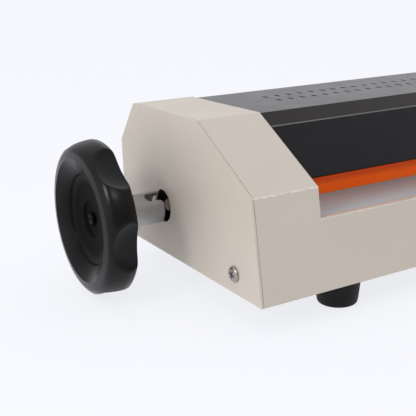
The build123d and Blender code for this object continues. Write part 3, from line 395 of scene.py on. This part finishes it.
# ---- mesh helpers -----------------------------------------------------------------
def rounded(corners, segments=5):
    """A closed outline from (x, y, radius) corners, each rounded with an arc-like curve."""
    outline = []
    count = len(corners)
    for index, (x, y, radius) in enumerate(corners):
        here = Vector((x, y))
        if radius <= 0:
            outline.append(here)
            continue
        before = Vector(corners[index - 1][:2]) - here
        after = Vector(corners[(index + 1) % count][:2]) - here
        reach = min(radius, before.length * 0.45, after.length * 0.45)
        start = here + before.normalized() * reach
        end = here + after.normalized() * reach
        for step in range(segments + 1):
            f = step / segments
            outline.append(start * (1 - f) ** 2 + here * 2 * f * (1 - f) + end * f ** 2)
    return outline


def smooth_through(points, steps):
    """Catmull-Rom curve through (x, y) points, with steps on each span."""
    points = [Vector(point) for point in points]
    ends = [points[0] * 2 - points[1]] + points + [points[-1] * 2 - points[-2]]
    curve = []
    for a, b, c, d in zip(ends, ends[1:], ends[2:], ends[3:]):
        for step in range(steps):
            f = step / steps
            curve.append((b * 2 + (c - a) * f + (a * 2 - b * 5 + c * 4 - d) * f ** 2
                          + (b * 3 - a - c * 3 + d) * f ** 3) * 0.5)
    curve.append(points[-1])
    return curve


def lathe(name, outline, steps, place, shape=None, axis="X"):
    """Closed outline of (along, radius) in mm turned about an axis through place.

    shape(along, radius, angle) may change the radius; the angle runs from +Y towards +Z.
    """
    mesh = bmesh.new()
    rings = []
    for step in range(steps):
        angle = 2 * pi * step / steps
        ring = []
        for along, radius in outline:
            if shape:
                radius = shape(along, radius, angle)
            a, b = radius * cos(angle), radius * sin(angle)
            offset = (along, a, b) if axis == "X" else (a, b, along)
            ring.append(mesh.verts.new(Vector(place) + Vector(offset) * MM))
        rings.append(ring)
    for ring, following in zip(rings, rings[1:] + rings[:1]):
        for index in range(len(outline)):
            ahead = (index + 1) % len(outline)
            mesh.faces.new((ring[index], ring[ahead], following[ahead], following[index]))
    bmesh.ops.remove_doubles(mesh, verts=mesh.verts, dist=1e-7)
    bmesh.ops.recalc_face_normals(mesh, faces=mesh.faces)
    return mesh_object(name, mesh)


def mesh_object(name, mesh):
    data = bpy.data.meshes.new(name)
    mesh.to_mesh(data)
    mesh.free()
    data.shade_smooth()
    piece = bpy.data.objects.new(name, data)
    scene.collection.objects.link(piece)
    return piece


def keep(piece, body, slot_name, *replaced):
    """Give a new piece its slot's material and its body, and hide the nodes that it stands for."""
    paint(piece, slot_name)
    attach(piece, body)
    if replaced:
        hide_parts(*replaced)


# ---- handwheel --------------------------------------------------------------------
SCOOPS = 6
SCOOP_TURN = radians(8)
WHEEL_R = (wheel_high.z - wheel_low.z) / 2 / MM
SCOOP_CENTRE = (20.0, WHEEL_R + 3.3)   # along the axis from the front plane, radius
SCOOP_HALF = (26.0, 23.5, 10.6)        # half sizes: along the axis, along the rim, radial
SCOOP_BLEND = 0.35
WHEEL_STEPS = 360
RING_R = 44.6                          # front edge of the rim
LEDGE_R = 33.5                         # foot of the dish's sloping wall
RIM_START = RING_R + 1.5               # the scoops cut only beyond this radius


def scooped(along, radius, angle):
    """The rim's radius where an ellipsoidal finger scoop cuts it, with a soft edge."""
    if radius < RIM_START:
        return radius
    pitch = 2 * pi / SCOOPS
    off = (angle - SCOOP_TURN + pitch / 2) % pitch - pitch / 2
    left = 1 - ((along - SCOOP_CENTRE[0]) / SCOOP_HALF[0]) ** 2
    a = (cos(off) / SCOOP_HALF[2]) ** 2 + (sin(off) / SCOOP_HALF[1]) ** 2
    b = -2 * cos(off) * SCOOP_CENTRE[1] / SCOOP_HALF[2] ** 2
    c = (SCOOP_CENTRE[1] / SCOOP_HALF[2]) ** 2 - left
    inside = b * b - 4 * a * c
    if inside <= 0:
        return radius
    cut = (-b - inside ** 0.5) / (2 * a)
    blend = max(SCOOP_BLEND - abs(radius - cut), 0) / SCOOP_BLEND
    return min(radius, cut) - blend ** 2 * SCOOP_BLEND / 4


dish = rounded([(15.0, 2.7, 0), (11.5, 2.7, 0), (11.5, 12.0, 0.8), (9.6, 13.5, 1.6),
                (8.4, LEDGE_R - 0.8, 0.8), (6.6, LEDGE_R, 0.9), (0.9, RING_R - 1.0, 1.1),
                (0.0, RING_R + 0.2, 0.8), (0.25, RING_R + 1.2, 0)])
lip = smooth_through([(0.25, RING_R + 1.2), (1.4, WHEEL_R - 6.8), (4.8, WHEEL_R - 3.0),
                      (10.0, WHEEL_R - 1.0), (15.0, WHEEL_R - 0.2), (19.2, WHEEL_R - 0.9)], 12)
back = rounded([(19.2, WHEEL_R - 0.9, 0), (21.4, WHEEL_R - 2.2, 1.2), (22.0, WHEEL_R - 4.2, 0.8),
                (22.0, 48.6, 1.2), (16.5, 46.0, 2.5), (14.0, 20.5, 2.5), (14.0, 15.5, 1.2),
                (25.0, 15.5, 1.0), (25.0, 12.05, 0.3), (15.0, 12.05, 0)])
wheel_outline = dish[:-1] + lip + back[1:]
wheel_centre = (wheel_low.x, axle.y, axle.z)
handwheel = lathe("handwheel_moulding", wheel_outline, WHEEL_STEPS, wheel_centre, scooped)
keep(handwheel, "handwheel_assembly", "wheel_plastic", "handwheel")

# ---- feet -------------------------------------------------------------------------
foot_low, foot_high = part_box("feet")
FOOT_R = 16.5
foot_tall = (foot_high.z - foot_low.z) / MM
foot_outline = rounded([(0.0, 7.9, 0.5), (0.0, 12.8, 0.8), (1.0, 14.2, 1.2), (4.0, 14.8, 1.5),
                        (foot_tall - 2.5, FOOT_R, 1.0), (foot_tall, FOOT_R, 0.5),
                        (foot_tall, 2.75, 0), (10.0, 2.75, 0), (10.0, 7.0, 0.5)])
for x, end in ((foot_low.x + FOOT_R * MM, "left"), (foot_high.x - FOOT_R * MM, "right")):
    for y, row in ((foot_low.y + FOOT_R * MM, "front"), (foot_high.y - FOOT_R * MM, "rear")):
        foot = lathe(f"foot_{row}_{end}", foot_outline, 96, (x, y, foot_low.z), axis="Z")
        keep(foot, "casing", "foot_rubber", "feet")


# ---- camera -----------------------------------------------------------------------
def aim(azimuth, elevation, roll):
    """Camera matrix looking along azimuth (0 along +Y, towards +X positive) and down by elevation."""
    view = Vector((sin(azimuth) * cos(elevation), cos(azimuth) * cos(elevation), -sin(elevation)))
    level = Vector((cos(azimuth), -sin(azimuth), 0.0))
    upright = level.cross(view)
    right = level * cos(roll) - upright * sin(roll)
    up = right.cross(view)
    return Matrix((right, up, -view)).transposed()


CAMERA_LENS = 69.22
CAMERA_AIM = (30.18, 16.475, 1.643)              # azimuth, elevation and roll in degrees
CAMERA_OFFSET = (-0.26172, -0.38610, 0.20534)    # from the casing's left front bottom corner
camera_data = bpy.data.cameras.new("camera")
camera_data.lens = CAMERA_LENS
camera_data.sensor_width = 36.0
camera = bpy.data.objects.new("camera", camera_data)
scene.collection.objects.link(camera)
camera.matrix_world = aim(*(radians(angle) for angle in CAMERA_AIM)).to_4x4()
camera.location = (left_x + CAMERA_OFFSET[0], front_y + CAMERA_OFFSET[1], base_z + CAMERA_OFFSET[2])
scene.camera = camera

# ---- floor, world and lights ------------------------------------------------------
scene.view_settings.view_transform = "Standard"

floor_mesh = bpy.data.meshes.new("floor")
FLOOR_HALF = 30.0
corners = [(x * FLOOR_HALF, y * FLOOR_HALF, 0) for x, y in ((-1, -1), (1, -1), (1, 1), (-1, 1))]
floor_mesh.from_pydata(corners, [], [(0, 1, 2, 3)])
floor = bpy.data.objects.new("floor", floor_mesh)
scene.collection.objects.link(floor)
backdrop = linear(247, 248, 252)
FLOOR_GLOW = 0.84
ground = Graph("floor_paint")
patches = ground.ramp(ground.noise(3, 2), 0.3, 0.7)
glow = ground.mix(patches, linear(247, 248, 252), linear(246, 247, 251))
ground.link(glow, ground.shader, "Emission Color")
ground_tone = ground.mix(patches, (0.16, 0.16, 0.17), (0.17, 0.17, 0.18))
floor_mesh.materials.append(ground.finish(ground_tone, 0.9, Emission_Strength=FLOOR_GLOW,
                                          Specular_IOR_Level=0.0))

world = bpy.data.worlds.new("studio")
scene.world = world
world.use_nodes = True
sky = world.node_tree
background = sky.nodes["Background"]
place = sky.nodes.new("ShaderNodeTexCoord")
split = sky.nodes.new("ShaderNodeSeparateXYZ")
sky.links.new(place.outputs["Generated"], split.inputs["Vector"])


def sky_ramp(output, low, high, start, end):
    """A clamped ramp of a direction's component."""
    node = sky.nodes.new("ShaderNodeMapRange")
    for name, number in (("From Min", low), ("From Max", high), ("To Min", start), ("To Max", end)):
        node.inputs[name].default_value = number
    sky.links.new(output, node.inputs["Value"])
    return node.outputs["Result"]


def sky_mix(amount, first, second):
    """first * (1 - amount) + second * amount; first is an output, second a number."""
    node = sky.nodes.new("ShaderNodeMix")
    sky.links.new(amount, node.inputs["Factor"])
    sky.links.new(first, node.inputs["A"])
    node.inputs["B"].default_value = second
    return node.outputs["Result"]


def sky_math(operation, first, second):
    """One operation on two outputs or numbers."""
    node = sky.nodes.new("ShaderNodeMath")
    node.operation = operation
    for index, item in enumerate((first, second)):
        if isinstance(item, (int, float)):
            node.inputs[index].default_value = item
        else:
            sky.links.new(item, node.inputs[index])
    return node.outputs["Value"]


FRONT_LIGHT = 0.24
OVERHEAD_LIGHT = 0.98
LEFT_LIGHT = 1.65
BACK_LEFT_SHADE = 0.55
front = sky_ramp(split.outputs["Y"], -0.8, 0.0, FRONT_LIGHT, 1.0)
left = sky_ramp(split.outputs["X"], -0.9, -0.3, LEFT_LIGHT, 1.0)
back_left = sky_math("MULTIPLY", sky_ramp(split.outputs["X"], -0.4, -0.1, BACK_LEFT_SHADE, 0.0),
                     sky_ramp(split.outputs["Y"], 0.2, 0.6, 0.0, 1.0))
around = sky_math("MULTIPLY", sky_math("MULTIPLY", front, left), sky_math("SUBTRACT", 1.0, back_left))
strength = sky_mix(sky_ramp(split.outputs["Z"], 0.05, 0.8, 0.0, 1.0), around, OVERHEAD_LIGHT)
seen = sky.nodes.new("ShaderNodeLightPath").outputs["Is Camera Ray"]
strength = sky_mix(seen, strength, 1.0)
background.inputs["Color"].default_value = (*backdrop, 1.0)
sky.links.new(strength, background.inputs["Strength"])


def soft_light(name, place, target, size, power):
    light = bpy.data.lights.new(name, "AREA")
    light.size = size
    light.energy = power
    lamp = bpy.data.objects.new(name, light)
    lamp.location = place
    lamp.rotation_euler = (Vector(target) - Vector(place)).to_track_quat("-Z", "Y").to_euler()
    scene.collection.objects.link(lamp)


soft_light("key", (-1.2, -0.35, 0.75), (-0.2, 0, 0.07), 0.3, 3.5)
soft_light("rim", (-0.55, -0.9, 1.0), (-0.27, 0, 0.08), 0.25, 1.0)
